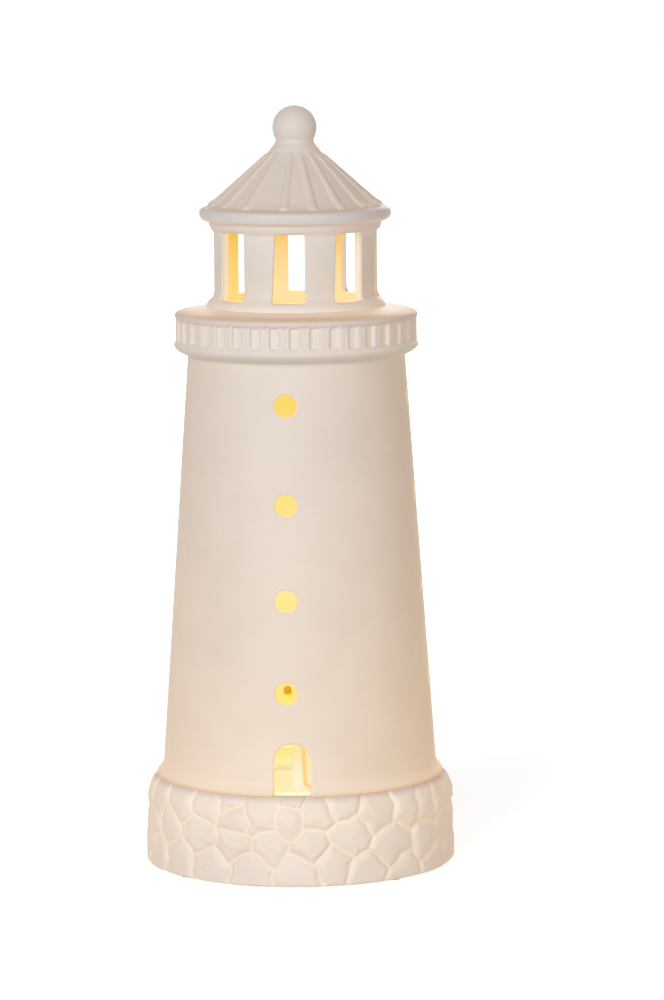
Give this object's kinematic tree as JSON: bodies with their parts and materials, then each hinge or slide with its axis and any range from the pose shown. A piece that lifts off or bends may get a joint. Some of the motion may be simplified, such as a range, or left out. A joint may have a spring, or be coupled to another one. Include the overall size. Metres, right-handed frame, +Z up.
{
  "type": "lighthouse ornament light",
  "caption": "Tapered lighthouse ornament on a cobbled plinth, with an open arched doorway, portholes, a gallery, a windowed lantern room and a ribbed roof, lit from inside by a battery unit.",
  "frame": {"origin": "centre of the underside, where the feet meet the ground", "axes": "+Z up along the tower, -Y out of the doorway, +X to the right of a viewer who faces the doorway"},
  "size_m": [0.1148, 0.1148, 0.28],
  "materials": {
    "porcelain": "unglazed matt white",
    "foot_rubber": "soft matt",
    "seal_rubber": "soft matt",
    "unit_plastic": "fine matt",
    "steel": "plated",
    "switch_case": "plated",
    "switch_knob": "matt",
    "board_green": "solder mask",
    "chip_black": "matt",
    "capacitor_sleeve": "sleeved",
    "cell_jacket": "printed film",
    "lead_red": "matt",
    "post_plastic": "satin",
    "lamp_resin": "clear",
    "lead_tan": "matt"
  },
  "bodies": {
    "lighthouse": {"stone_plinth": "porcelain", "tower_shell": "porcelain", "gallery_ring": "porcelain", "lantern_room": "porcelain", "roof_cone": "porcelain", "ball_finial": "porcelain", "base_feet": "foot_rubber", "seal_ring": "seal_rubber", "unit_cup": "unit_plastic", "unit_base": "unit_plastic", "case_screws": "steel", "hinge_pin": "steel", "switch_body": "switch_case", "circuit_board": "board_green", "driver_chip": "chip_black", "capacitor": "capacitor_sleeve", "battery_cell_1": "cell_jacket", "battery_cell_2": "cell_jacket", "battery_cell_3": "cell_jacket", "contact_springs": "steel", "contact_plates": "steel", "battery_leads": "lead_red", "lamp_post": "post_plastic", "lamp_board": "post_plastic", "lamps": "lamp_resin", "lamp_leads": "lead_tan"},
    "door": {"battery_door": "unit_plastic"},
    "slider": {"switch_slider": "switch_knob"}
  },
  "joints": [
    {"name": "battery_door_hinge", "type": "hinge", "parent": "lighthouse", "child": "door", "pos_m": [0, -0.032, 0.005], "axis": [-1, 0, 0], "range_deg": [0, 90]},
    {"name": "power_switch", "type": "slide", "parent": "lighthouse", "child": "slider", "axis": [0, 1, 0], "range_m": [-0.004, 0]}
  ]
}
